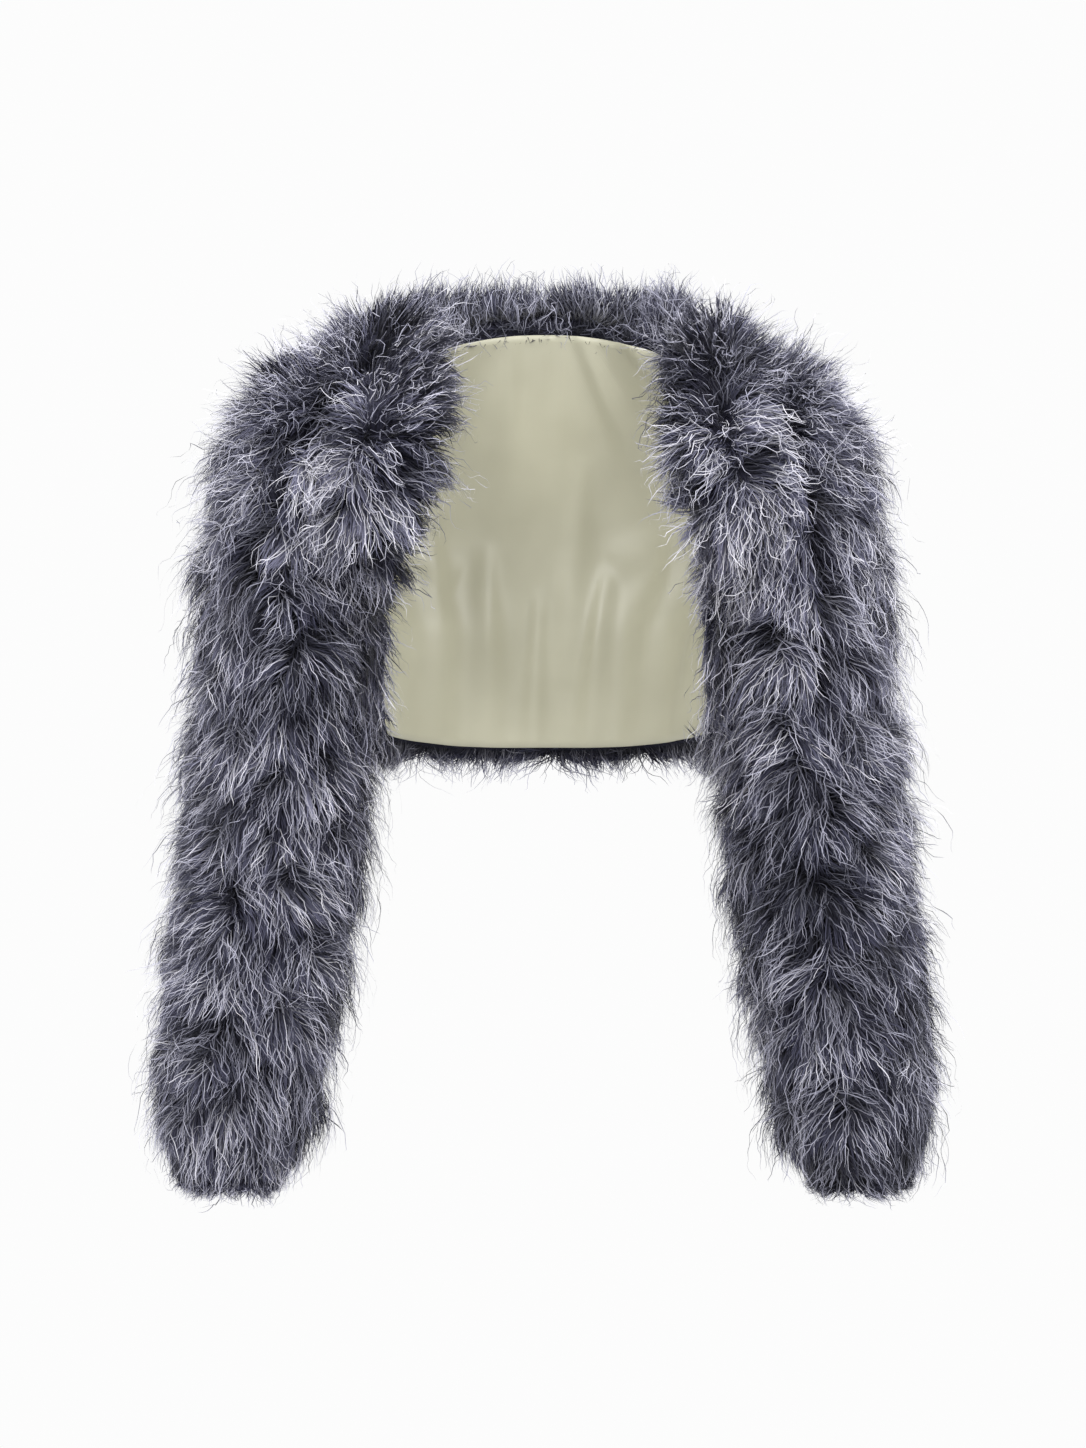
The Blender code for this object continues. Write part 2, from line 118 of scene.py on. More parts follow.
# Whorls, from which the feathers part to all sides: pixels of the photograph, and metres of reach
# and of the dark hole in the middle
WHORL_COLUMNS = ("x", "y", "reach", "strength", "hole")
WHORLS = (
    (395, 333, 0.036, 0.60, 0.0042),
    (380, 433, 0.050, 1.14, 0.0077),
    (351, 500, 0.028, 0.72, 0.0056),
    (372, 545, 0.026, 0.72, 0.0063),
    (712, 404, 0.040, 0.96, 0.0070),
    (724, 425, 0.034, 0.84, 0.0077),
    (752, 476, 0.040, 1.32, 0.0091),
    (806, 502, 0.026, 0.60, 0.0063),
    (805, 540, 0.024, 0.60, 0.0063),
    (764, 640, 0.034, 0.96, 0.0084),
    (790, 762, 0.030, 0.84, 0.0077),
    (814, 880, 0.034, 0.84, 0.0084),
    (820, 975, 0.034, 0.84, 0.0077),
    (258, 560, 0.030, 0.72, 0.0070),
    (300, 655, 0.032, 0.84, 0.0077),
    (283, 770, 0.030, 0.72, 0.0070),
    (232, 905, 0.034, 0.84, 0.0077),
    (228, 1010, 0.030, 0.72, 0.0070),
)
# Partings, where the roll down each front stands proud of the sleeve beyond it: pixels of both
# ends, and metres of the dark hole along them
PARTING_COLUMNS = ("x0", "y0", "x1", "y1", "hole")
PARTINGS = (
    (400, 352, 350, 398, 0.013),
    (350, 398, 300, 472, 0.014),
    (300, 472, 268, 560, 0.012),
    (268, 560, 280, 640, 0.010),
    (700, 372, 770, 420, 0.008),
    (770, 420, 800, 500, 0.013),
    (800, 500, 812, 600, 0.012),
    (812, 600, 806, 690, 0.010),
)
# The near side of a parting is this wide, and this much higher and, with painted light, paler
BANK, BANK_RISE, BANK_PAINTED_LIGHT = 0.022, 0.004, 0.15

# Smaller tufts all over: how far apart, how far and how strongly each parts the feathers, the
# size of its hole, and the share of tufts that have one
TUFT_SPACING = 0.044
TUFT_REACH = 0.024
TUFT_STRENGTH = (0.2, 1.3)
TUFT_HOLE_SIZE = 0.009
OPEN_TUFTS = 0.5
TUFT_TRIES = 9000
# Over this stretch along its own feathers a tuft rises and grows paler: by how much, and what
# share of that is lower and darker than the rest of the pile. The paler end is painted light, and
# the dark start under the tuft before it is painted shadow
TUFT_RUN = (-0.020, 0.022)
TUFT_RISE, TUFT_LOW_SHARE = 0.007, 0.6
TUFT_PAINTED_LIGHT, TUFT_PAINTED_SHADOW_SHARE = 0.32, 0.55

# What a hole does to the feathers: how far it lowers them, what share of them it leaves out, and
# how much painted shade darkens them and how much it lifts them, over how many times its size.
# Lifts are in degrees
WHORL_HOLE = SimpleNamespace(low=0.007, gap=0.3, dark=0.56, dark_size=1.5, lift=35, lift_size=2)
TUFT_HOLE = SimpleNamespace(low=0.005, gap=0.4, dark=0.45, dark_size=1, lift=14, lift_size=1)
PARTING_HOLE = SimpleNamespace(low=0.010, gap=0.5, dark=0.62, dark_size=1.4, lift=0, lift_size=1)

# The middle of each front's roll, from which its feathers fan out: heights and distances from the
# middle of the body, and how strongly they fan
ROLL_HEIGHTS = (-0.24, -0.15, -0.05, 0.03)
ROLL_MIDDLES = (0.175, 0.160, 0.138, 0.125)
ROLL_FAN = 11
# How strongly feathers lean inward on a front's inner face, and fan out on the back, on the
# shoulders and to the sides of a sleeve
INNER_LEAN = 0.5
BACK_FAN = 2
SHOULDER_FAN = 0.7
SLEEVE_FAN = 0.8
# How strongly feathers are brushed up and over the roll at the back of the neck
NECK_FLOW = 1.3

# How far feathers reach past the inner edge of each front, which differs in the photograph. For
# that they end higher, by this share of it, and stand up by so many degrees for each metre
FRONT_REACH = {"front_left": 0.014, "front_right": 0.052}
FRONT_RISE_SHARE = 0.6
FRONT_LIFT = 500
FRONT_DENSITY = 1.5

# How much higher or lower feathers end: on the shoulders, on top beside the neck, at the cuffs,
# outside the forearms, and between arm and body. On the shoulders they also stand, in degrees
SHOULDER_RISE = 0.015
NECK_DROP = 0.006
CUFF_DROP = 0.008
FOREARM_DROP = 0.005
UNDERARM_RISE = 0.012
SHOULDER_LIFT = 18
# The height at which the cuffs end, how far above it they begin and are at their full, and how
# much closer the feathers are held there
CUFF_END = cad_box[0][2]
CUFF_BEGIN, CUFF_FULL = 0.055, 0.010
CUFF_HOLD = 0.7

# Painted light and shade by region: each wall's painted lightness, and what is added to it from
# one height to another, mostly paler higher up, where more light falls. A row is for the walls
# whose names start so, and gives both heights and the change
WALL_PAINTED_LIGHT = {
    "back": -0.08,
    "front_left": -0.02,
    "front_right": -0.02,
    "sleeve_left": -0.22,
    "sleeve_right": -0.14,
}
HEIGHT_PAINTED_LIGHT = (
    ("", -0.45, -0.05, 0.14),
    ("", -0.12, 0.00, -0.05),
    ("sleeve_left", -0.46, -0.28, 0.20),
    ("sleeve_left", -0.16, -0.04, -0.04),
    ("sleeve_right", -0.16, -0.04, 0.12),
)
# How much paler a sleeve is at its sides: painted light at its rims
SLEEVE_SIDES_PAINTED_LIGHT = 0.16
# How much painted shade darkens the forward face of the roll at the back of the neck
NECK_PAINTED_SHADE = 0.28

# Uneven places: the size of their lumps in metres, and how much they turn or shade the feathers
SWIRL_SIZE, SWIRL_TURN = 0.05, 0.45
BROAD_SIZE, BROAD_SHADE = 0.08, 0.16
PATCH_SIZE, PATCH_SHADE = 0.022, 0.08
# On the fronts such patches are stronger, and dark ones are also low and thin
FRONT_PATCH = SimpleNamespace(shade=0.24, rise=0.004, gap=0.5)

# Locks, the points that the feathers close up to: how many to the square metre, and how much
# they differ in height, turn, shade and angle in degrees
LOCKS_PER_AREA = 7000
LOCK_HEIGHT = 0.0028
LOCK_TURN = 0.20
LOCK_SHADE = 0.08
LOCK_ANGLE = 8

# The angle to the skin, in degrees, at which feathers leave their roots and end, how much more
# they stand where the skin faces up, and the range that all angles stay in
ROOT_ANGLE = 78
TIP_ANGLE = 10
UPWARD_ANGLE = 42
ANGLES = (-10, 80)

# Each kind of strand. Lengths are metres: its width, how far over the skin it ends, and how far
# it curls. The last numbers are how closely it follows its lock, and how much one differs
KINDS = {
    "down": SimpleNamespace(
        per_area=158000, share=(0, 0.4, 0.7, 1), width=0.0012, length=(0.030, 0.046),
        over=(-0.009, 0.001), reach=0.004, wisp=0.010, wisps=0.04, lean=5, lock=0.36, curl=0.0008,
        turns=(0.5, 1.4), kink=0.0002, turn=0.12, shade=0.04, body=0.75,
    ),
    "barbs": SimpleNamespace(
        per_area=44000, share=(0, 0.28, 0.42, 0.55, 0.67, 0.78, 0.89, 1), width=0.00075,
        length=(0.034, 0.055), over=(-0.003, 0.012), reach=0.012, wisp=0.016, wisps=0.12, lean=9,
        lock=0.16, curl=0.0025, turns=(0.7, 2.2), kink=0.0006, turn=0.25, shade=0.17, body=0.45,
    ),
}
# A strand's width at its tip as a share of its root's, the range of widths, and how it turns
TIP_WIDTH = 0.3
WIDTHS = (0.7, 1.3)
TWIST = 0.35
# The share of its run by which each strand starts before the place that it is counted at, which
# is less on the face of a front
BEFORE = 0.42
FRONT_BEFORE = 0.1
# The shares of the pile within which ends and roots lie under the skin, and how near a lining
# roots may come
DEEPEST_END = 0.35
DEEPEST_ROOT = 0.6
LINING_CLEAR = 0.0015
# How much further ends may reach past the skin where it faces up
UPWARD_REACH = 0.006
# How many feathers there are where the skin faces the back, against where it faces the front
BACK_SHARE = 0.68
# How much strands curl below and above, and the heights between which that changes
CURL_BELOW, CURL_ABOVE = 0.65, 2.0
CURL_HEIGHTS = (-0.24, -0.02)
# What the light on a strand follows: the skin, the way to its lock and the way to its tuft
LIT_BY_SKIN, LIT_BY_LOCK, LIT_BY_TUFT = 0.8, 60, 0.5
SHADES = 64

rng = np.random.default_rng(11)


# --- Numbers ---


def unit(vectors):
    return vectors / np.maximum(np.linalg.norm(vectors, axis=-1, keepdims=True), 1e-9)


def smooth(low, high, values):
    share = np.clip((values - low) / (high - low), 0, 1)
    return share * share * (3 - 2 * share)


def bell(apart, size):
    """1 where apart is nothing, and almost nothing at twice the size."""
    return np.exp(-((apart / size) ** 2))


def tangential(vectors, normals):
    """The part of each vector that lies in the skin."""
    return vectors - np.sum(vectors * normals, axis=-1, keepdims=True) * normals


def outward_of(points, normals):
    """How far each normal points away from the middle of the body, from -1 to 1."""
    return normals[:, 0] * np.sign(points[:, 0])


def noise(points, size, seed):
    """Smooth noise from about -1 to 1, with lumps of about this size."""
    draw = np.random.default_rng(seed)
    waves = unit(draw.normal(size=(7, 3))) * math.pi / size * draw.uniform(0.6, 1.4, (7, 1))
    return np.sin(points @ waves.T + draw.uniform(0, math.tau, 7)).mean(axis=-1) * 1.7


def in_metres(x, y):
    """The place across and the height that a pixel of the photograph shows."""
    return (x - ORIGIN_PIXEL[0]) * PIXEL, (ORIGIN_PIXEL[1] - y) * PIXEL


def columns(names, table):
    return SimpleNamespace(**dict(zip(names, np.array(table, float).T)))


def picked(rows, kept):
    """The same arrays with only the kept rows."""
    return SimpleNamespace(**{name: values[kept] for name, values in vars(rows).items()})


# --- The skin that the feathers grow from ---


def arrays_of(mesh):
    """Vertices and triangles of a mesh."""
    points = np.empty(len(mesh.vertices) * 3)
    mesh.vertices.foreach_get("co", points)
    mesh.calc_loop_triangles()
    faces = np.empty(len(mesh.loop_triangles) * 3, int)
    mesh.loop_triangles.foreach_get("vertices", faces)
    return points.reshape(-1, 3), faces.reshape(-1, 3)


def tree_of(points, faces):
    return BVHTree.FromPolygons(points.tolist(), faces.tolist())


def joined(names):
    """Vertices, triangles and the number of the node of each triangle."""
    points, faces, owners, base = [], [], [], 0
    for number, name in enumerate(names):
        own_points, own_faces = arrays_of(frame["nodes"][name].data)
        points.append(own_points)
        faces.append(own_faces + base)
        owners.append(np.full(len(own_faces), number))
        base += len(own_points)
    return np.concatenate(points), np.concatenate(faces), np.concatenate(owners)


def face_normals(points, faces):
    """The normal of each face, as long as twice its area."""
    first, second, third = points[faces].swapaxes(0, 1)
    return np.cross(second - first, third - first)


def open_faces(points, faces, owners):
    """Which faces have no other node right in front of them."""
    tree = tree_of(points, faces)
    centres = points[faces].mean(axis=1)
    normals = unit(face_normals(points, faces))
    clear = np.ones(len(faces), bool)
    for number in range(len(faces)):
        start = Vector(centres[number] + normals[number] * 1e-5)
        found = tree.ray_cast(start, Vector(normals[number]), COVERED)[2]
        clear[number] = found is None or owners[found] == owners[number]
    return clear


def fur_form():
    """The outer skin of all walls, welded across their seams: points, smooth normals, faces, the
    wall of each face and the pile's depth. With it come the linings that lie under it."""
    names = [*WALLS, *sorted(set(frame["nodes"]) - set(WALLS))]
    points, faces, owners = joined(names)
    shown = open_faces(points, faces, owners) & (owners < len(WALLS))
    skin = bmesh.new()
    owner = skin.faces.layers.int.new("owner")
    verts = [skin.verts.new(point) for point in points]
    for face, number in zip(faces[shown], owners[shown]):
        skin.faces.new([verts[corner] for corner in face])[owner] = int(number)
    bmesh.ops.delete(skin, geom=[vert for vert in verts if not vert.link_faces], context="VERTS")
    bmesh.ops.remove_doubles(skin, verts=skin.verts[:], dist=WELD)
    mesh = bpy.data.meshes.new("skin")
    skin.to_mesh(mesh)
    skin.free()
    form = SimpleNamespace()
    form.points, form.faces = arrays_of(mesh)
    form.owners = np.array([value.value for value in mesh.attributes["owner"].data])
    bpy.data.meshes.remove(mesh)
    form.normals = smooth_normals(form.points, form.faces)
    linings = [name for name in names if name not in WALLS]
    form.linings = tree_of(*joined(linings)[:2])
    form.depth = np.array([form.linings.find_nearest(Vector(point))[3] for point in form.points])
    return form


def smooth_normals(points, faces):
    normals = np.zeros_like(points)
    for corner in range(3):
        np.add.at(normals, faces[:, corner], face_normals(points, faces))
    normals = unit(normals)
    for _ in range(NORMAL_PASSES):
        total = normals.copy()
        for corner in range(3):
            np.add.at(total, faces[:, corner], normals[faces[:, corner - 1]])
            np.add.at(total, faces[:, corner], normals[faces[:, corner - 2]])
        normals = unit(total)
    return normals


def areas_of(form, chosen):
    return np.linalg.norm(face_normals(form.points, form.faces[chosen]), axis=-1) / 2


def scatter(form, count, chosen, rim=0.0):
    """Points spread at random over the chosen faces, with the skin's normal and pile there. They
    are denser by the share rim where the pile is shallow."""
    faces = form.faces[chosen]
    area = areas_of(form, chosen)
    area = area * (1 + rim * (form.depth[faces].min(axis=1) < RIM_DEPTH))
    corners = faces[rng.choice(len(faces), count, p=area / area.sum())]
    share = rng.dirichlet((1, 1, 1), count)[..., None]
    points = (form.points[corners] * share).sum(axis=1)
    normals = unit((form.normals[corners] * share).sum(axis=1))
    normals = unit(normals + unit(face_normals(form.points, corners)))
    depth = (form.depth[corners] * share[..., 0]).sum(axis=1)
    return SimpleNamespace(points=points, normals=normals, depth=depth)


def slice_middle(name, low, high):
    """The middle of a node between two shares of its height."""
    points = arrays_of(frame["nodes"][name].data)[0]
    bottom, top = points[:, 2].min(), points[:, 2].max()
    share = (points[:, 2] - bottom) / (top - bottom)
    return points[(share >= low) & (share <= high)].mean(axis=0)


def middle_of(name, heights):
    """The middle of a node at each height."""
    points = arrays_of(frame["nodes"][name].data)[0]
    low, high = points[:, 2].min(), points[:, 2].max()
    first, last = slice_middle(name, 0, 0.1), slice_middle(name, 0.9, 1)
    share = np.clip((heights - low) / (high - low), 0, 1)[:, None]
    return first + share * (last - first)


# --- Tufts, whorls and locks ---


def kd_tree(points):
    tree = KDTree(len(points))
    for number, point in enumerate(points):
        tree.insert(point, number)
    tree.balance()
    return tree


def nearest(tree, points):
    """The number of the tree's point nearest each point."""
    return np.array([tree.find(point)[1] for point in points])


def tufts_on(form):
    """Centres all over the skin at least TUFT_SPACING apart."""
    tries = scatter(form, TUFT_TRIES, slice(None)).points
    kept = tries[:1]
    for point in tries[1:]:
        if np.min(np.sum((kept - point) ** 2, axis=-1)) > TUFT_SPACING**2:
            kept = np.vstack([kept, point])
    return SimpleNamespace(
        centres=kept,
        tree=kd_tree(kept),
        is_open=rng.random(len(kept)) < OPEN_TUFTS,
        strength=rng.uniform(*TUFT_STRENGTH, len(kept)),
    )


def whorls_on(form):
    """The whorls, with each centre on the front of the skin."""
    whorls = columns(WHORL_COLUMNS, WHORLS)
    tree = tree_of(form.points, form.faces)
    centres = []
    for x, z in zip(*in_metres(whorls.x, whorls.y)):
        hit = tree.ray_cast(Vector((x, -1, z)), Vector((0, 1, 0)))[0]
        centres.append(hit if hit else Vector((x, 0, z)))
    whorls.centres = np.array(centres)
    return whorls


def locks_on(form):
    """The locks: where each is, and its own height, turn, lean and shade."""
    count = int(LOCKS_PER_AREA * areas_of(form, slice(None)).sum())
    centres = scatter(form, count, slice(None)).points
    return SimpleNamespace(
        centres=centres,
        tree=kd_tree(centres),
        height=rng.normal(0, LOCK_HEIGHT, count),
        turn=rng.normal(0, LOCK_TURN, count),
        lean=rng.normal(0, 1, count),
        shade=rng.normal(0, LOCK_SHADE, count),
    )


# --- How the feathers lie ---


def grain(wall, points, normals):
    """Which way the feathers of a wall are brushed, before whorls and tufts."""
    brushed = np.broadcast_to((0.0, 0.0, -1.0), points.shape).copy()
    side = np.sign(points[:, 0])
    if wall.startswith("sleeve"):
        lining = "lining_" + wall
        brushed[:] = unit(slice_middle(lining, 0, 0.05) - slice_middle(lining, 0.6, 0.9))
        brushed += SLEEVE_FAN * unit(points - middle_of(lining, points[:, 2])) * (1, 0, 0)
    elif wall.startswith("front"):
        middle = np.interp(points[:, 2], ROLL_HEIGHTS, ROLL_MIDDLES)
        inner = smooth(0.0, 0.6, -outward_of(points, normals))
        brushed[:, 0] = side * ROLL_FAN * (np.abs(points[:, 0]) - middle)
        brushed[:, 0] -= INNER_LEAN * inner * side
        brushed[:, 1] -= inner
    else:
        at_neck = smooth(-0.08, 0.0, points[:, 2])
        brushed[:, 0] = BACK_FAN * points[:, 0]
        brushed[:, 1] += at_neck * normals[:, 2]
        brushed[:, 2] += at_neck * (NECK_FLOW - normals[:, 1])
    upward = smooth(0.2, 0.9, normals[:, 2]) * smooth(0.05, 0.11, np.abs(points[:, 0]))
    brushed[:, 0] += SHOULDER_FAN * upward * side
    return unit(brushed)


def lay_of(wall, points, normals, pile):
    """How the feathers lie at each point: their course in the skin, how much higher, paler and
    steeper than others they are, what share of them is missing, and the way to their tuft. How
    pale they are holds painted light and shade as well as their tone."""
    course = unit(tangential(grain(wall, points, normals), normals))
    height, shade, gap, stand = np.zeros((4, len(points)))
    lay = SimpleNamespace(course=course, height=height, shade=shade, gap=gap, stand=stand)
    add_tufts(lay, points, normals, pile.tufts)
    add_whorls(lay, points, normals, pile.whorls)
    add_partings(lay, points, normals)
    swirl = SWIRL_TURN * noise(points, SWIRL_SIZE, 3)[:, None]
    lay.course = lay.course + swirl * np.cross(normals, unit(lay.course))
    add_patches(lay, wall, points)
    add_painted_light(lay, wall, points, normals)
    add_rises(lay, wall, points, normals)
    lay.course = unit(tangential(lay.course, normals))
    return lay


def part(lay, away, normals, pull):
    """Turn the feathers away from a centre, by how hard it pulls at each of them."""
    lay.course = lay.course + tangential(unit(away), normals) * pull[:, None]


def dig(lay, apart, size, hole, share=1.0):
    """Make a hole of this size round a place, which is this far apart from each point."""
    depth = share * bell(apart, size)
    lay.height -= hole.low * depth
    lay.gap = np.maximum(lay.gap, hole.gap * depth)
    # Painted shade in and round the hole
    lay.shade -= hole.dark * share * bell(apart, hole.dark_size * size)
    lay.stand += hole.lift * share * bell(apart, hole.lift_size * size)


def add_tufts(lay, points, normals, tufts):
    own = nearest(tufts.tree, points)
    away = points - tufts.centres[own]
    apart = np.linalg.norm(away, axis=-1)
    run = smooth(*TUFT_RUN, np.sum(away * lay.course, axis=-1))
    lay.height += TUFT_RISE * (run - TUFT_LOW_SHARE)
    # Painted light on each tuft's far end, and painted shadow at its start under the tuft before
    # it
    lay.shade += TUFT_PAINTED_LIGHT * (run - TUFT_PAINTED_SHADOW_SHARE)
    dig(lay, apart, TUFT_HOLE_SIZE, TUFT_HOLE, tufts.is_open[own])
    part(lay, away, normals, tufts.strength[own] * bell(apart, TUFT_REACH))
    lay.rounding = away / TUFT_SPACING


def add_whorls(lay, points, normals, whorls):
    for centre, reach, strength, size in zip(
        whorls.centres, whorls.reach, whorls.strength, whorls.hole
    ):
        away = points - centre
        apart = np.linalg.norm(away, axis=-1)
        part(lay, away, normals, strength * bell(apart, reach))
        dig(lay, apart, size, WHORL_HOLE)


def add_partings(lay, points, normals):
    for apart, outer, size in partings_by(points, normals):
        dig(lay, apart, size, PARTING_HOLE, outer)
        bank = bell(apart, BANK) * (1 - outer)
        lay.height += BANK_RISE * bank
        # Painted light on the bank before the parting
        lay.shade += BANK_PAINTED_LIGHT * bank


def partings_by(points, normals):
    """For each parting, how far each point is from it, whether it is on the outer side, and the
    size of the hole. Points that don't face the front are far from all of them."""
    lines = columns(PARTING_COLUMNS, PARTINGS)
    start = np.stack(in_metres(lines.x0, lines.y0), axis=-1)
    end = np.stack(in_metres(lines.x1, lines.y1), axis=-1)
    flat = points[:, [0, 2]]
    in_front = smooth(0.1, -0.3, normals[:, 1])
    for first, last, size in zip(start, end, lines.hole):
        along = last - first
        share = np.clip((flat - first) @ along / (along @ along), 0, 1)
        off = flat - first - share[:, None] * along
        apart = np.linalg.norm(off, axis=-1) + 0.1 * (1 - in_front)
        yield apart, (off[:, 0] * np.sign(first[0]) > 0).astype(float), size


def add_patches(lay, wall, points):
    """Uneven light and dark."""
    patches = noise(points, PATCH_SIZE, 6)
    lay.shade += BROAD_SHADE * noise(points, BROAD_SIZE, 5) + PATCH_SHADE * patches
    if wall in FRONT_REACH:
        lay.height += FRONT_PATCH.rise * patches
        lay.shade += FRONT_PATCH.shade * patches
        lay.gap = np.maximum(lay.gap, FRONT_PATCH.gap * smooth(-0.2, -0.9, patches))


def add_painted_light(lay, wall, points, normals):
    """Painted light and shade by region."""
    lay.shade += WALL_PAINTED_LIGHT[wall]
    for start, low, high, change in HEIGHT_PAINTED_LIGHT:
        if wall.startswith(start):
            lay.shade += change * smooth(low, high, points[:, 2])
    if wall.startswith("sleeve"):
        # Painted light on the sleeve's sides, at its rims
        lay.shade += SLEEVE_SIDES_PAINTED_LIGHT * smooth(0.5, 0.95, np.abs(normals[:, 0]))
    if wall == "back":
        # Painted shade on the forward face of the roll at the back of the neck
        roll_in_painted_shade = smooth(0.0, 0.05, points[:, 2]) * smooth(0.6, -0.4, normals[:, 1])
        lay.shade -= NECK_PAINTED_SHADE * roll_in_painted_shade


def add_rises(lay, wall, points, normals):
    """Where feathers end higher or lower, and stand up, by region."""
    heights = points[:, 2]
    outward = outward_of(points, normals)
    on_shoulder = smooth(0.04, 0.10, np.abs(points[:, 0]))
    upward = smooth(0.1, 0.8, normals[:, 2])
    lay.height += (SHOULDER_RISE * on_shoulder - NECK_DROP) * upward
    lay.stand += SHOULDER_LIFT * on_shoulder * upward
    lay.height -= CUFF_DROP * at_cuffs(points)
    if wall in FRONT_REACH:
        inner = smooth(-0.1, 0.6, -outward) * smooth(-0.25, -0.11, heights)
        lay.height += FRONT_RISE_SHARE * FRONT_REACH[wall] * inner
        lay.stand += FRONT_LIFT * FRONT_REACH[wall] * inner
    towards_arm = outward
    if wall.startswith("sleeve"):
        lay.height -= FOREARM_DROP * smooth(0.1, 0.8, outward) * smooth(-0.30, -0.42, heights)
        towards_arm = -outward
    beside = smooth(0.2, 0.8, towards_arm)
    beside *= smooth(-0.36, -0.28, heights) * smooth(-0.08, -0.16, heights)
    lay.height += UNDERARM_RISE * beside


def at_cuffs(points):
    """How much each point is at a cuff, from 0 to 1."""
    return smooth(CUFF_END + CUFF_BEGIN, CUFF_END + CUFF_FULL, points[:, 2])


# --- Strands ---


def roots_of(wall, kind, chosen, pile):
    """Where one wall's strands of a kind are counted: points, normals, the depth of the pile and
    how they lie."""
    tries = kind.per_area * areas_of(pile.form, chosen).sum()
    if wall in FRONT_REACH:
        tries *= FRONT_DENSITY
    roots = scatter(pile.form, int(tries), chosen, RIM_DENSITY)
    lay = lay_of(wall, roots.points, roots.normals, pile)
    kept = rng.random(len(roots.points)) > lay.gap
    to_back = (1 + roots.normals[:, 1]) / 2
    kept &= rng.random(len(roots.points)) < 1 - (1 - BACK_SHARE) * to_back
    return picked(SimpleNamespace(**vars(roots), **vars(lay)), kept)


def strands(wall, kind, chosen, pile):
    """One wall's strands of a kind: their centrelines, the skin's normals, the directions that
    they are lit from, and their shades."""
    roots = roots_of(wall, kind, chosen, pile)
    count = len(roots.points)
    share = np.array(kind.share)[None, :, None]
    own = nearest(pile.locks.tree, roots.points)
    pull = pile.locks.centres[own] - roots.points
    at_rim = 1 - smooth(0.4 * RIM_DEPTH, RIM_DEPTH, roots.depth)
    at_neck = smooth(-0.12, -0.04, roots.points[:, 2])
    upward = smooth(-0.1, 0.8, roots.normals[:, 2])

    turn = kind.turn + RIM_TURN * at_rim * at_neck
    turn_course(roots, pile.locks.turn[own] + rng.normal(0, 1, count) * turn)
    set_heights(roots, kind, pile.locks.height[own])
    shade = roots.shade + pile.locks.shade[own] + rng.normal(0, kind.shade, count)
    lean = UPWARD_ANGLE * upward + LOCK_ANGLE * pile.locks.lean[own]
    lean += rng.normal(0, kind.lean, count) + roots.stand
    length = rng.uniform(*kind.length, count) * (1 - (1 - RIM_LENGTH) * at_rim)
    path = climb(roots, share, lean, length)

    before = np.full(count, BEFORE)
    if wall in FRONT_REACH:
        before = FRONT_BEFORE + (BEFORE - FRONT_BEFORE) * upward
    before *= 1 - at_rim * (1 - at_neck)
    run = tangential(path[:, -1] - path[:, 0], roots.normals)
    path -= (before[:, None] * run)[:, None]
    path = rooted(path, share, roots.points, pile.form.linings)
    path += kind.lock * pull[:, None] * share**2.2
    path += curl_of(roots.points, share, kind)
    path += rng.normal(0, kind.kink, path.shape) * np.minimum(share * 4, 1)

    reach = kind.reach + np.maximum(roots.height, 0) + UPWARD_REACH * upward
    reach *= 1 - CUFF_HOLD * at_cuffs(roots.points)
    inward = -outward_of(roots.points, roots.normals)
    reach += FRONT_REACH.get(wall, 0) * smooth(-0.2, 0.5, inward)
    path = held(path, share, pile.tree, reach)
    facing = unit(LIT_BY_SKIN * roots.normals - LIT_BY_LOCK * pull + LIT_BY_TUFT * roots.rounding)
    return path, roots.normals, facing, shade


def turn_course(roots, turn):
    """Turn the course of each strand in the skin by an angle."""
    turn = turn[:, None]
    across = np.cross(roots.normals, roots.course)
    roots.course = roots.course * np.cos(turn) + across * np.sin(turn)


def set_heights(roots, kind, lock_height):
    """How far over the skin each strand ends. A few are wisps, which end higher."""
    count = len(roots.points)
    height = roots.height + (lock_height + rng.uniform(*kind.over, count))
    height = np.maximum(height, -DEEPEST_END * roots.depth)
    is_wisp = rng.random(count) < kind.wisps
    roots.height = height + is_wisp * rng.uniform(0.3, 1, count) * kind.wisp


def climb(roots, share, lean, length):
    """The centrelines. Each leaves its root steeply, bends over to lie along its course, and ends
    at its own height over the place that it is counted at."""
    span = np.diff(share, axis=1)
    middle = share[:, 1:] - span / 2
    angle = TIP_ANGLE + lean[:, None, None] + (ROOT_ANGLE - TIP_ANGLE) * (1 - middle) ** 2
    angle = np.radians(np.clip(angle, *ANGLES))
    length = length[:, None, None]
    rise = length * (span * np.sin(angle)).sum(axis=1, keepdims=True)
    room = (DEEPEST_ROOT * roots.depth + roots.height)[:, None, None]
    angle = angle * np.clip(room / rise, 0.05, 1)
    ahead = np.sin(angle) * roots.normals[:, None] + np.cos(angle) * roots.course[:, None]
    ahead = ahead * length * span
    start = np.zeros((len(ahead), 1, 3))
    path = np.concatenate([start, np.cumsum(ahead, axis=1)], axis=1)
    rise = np.sum(path[:, -1] * roots.normals, axis=-1)
    return path + (roots.points + roots.normals * (roots.height - rise)[:, None])[:, None]


def curl_of(points, share, kind):
    """A smooth wander along each strand, which grows from its root and towards the shoulders."""
    count = len(points)
    turns = rng.uniform(*kind.turns, (count, 1, 3))
    start = rng.uniform(0, 1, (count, 1, 3))
    wave = np.sin(math.tau * (turns * share + start)) - np.sin(math.tau * start)
    wave = wave * share * kind.curl * rng.uniform(0.3, 1.5, (count, 1, 1))
    above = smooth(*CURL_HEIGHTS, points[:, 2])
    return wave * (CURL_BELOW + (CURL_ABOVE - CURL_BELOW) * above)[:, None, None]


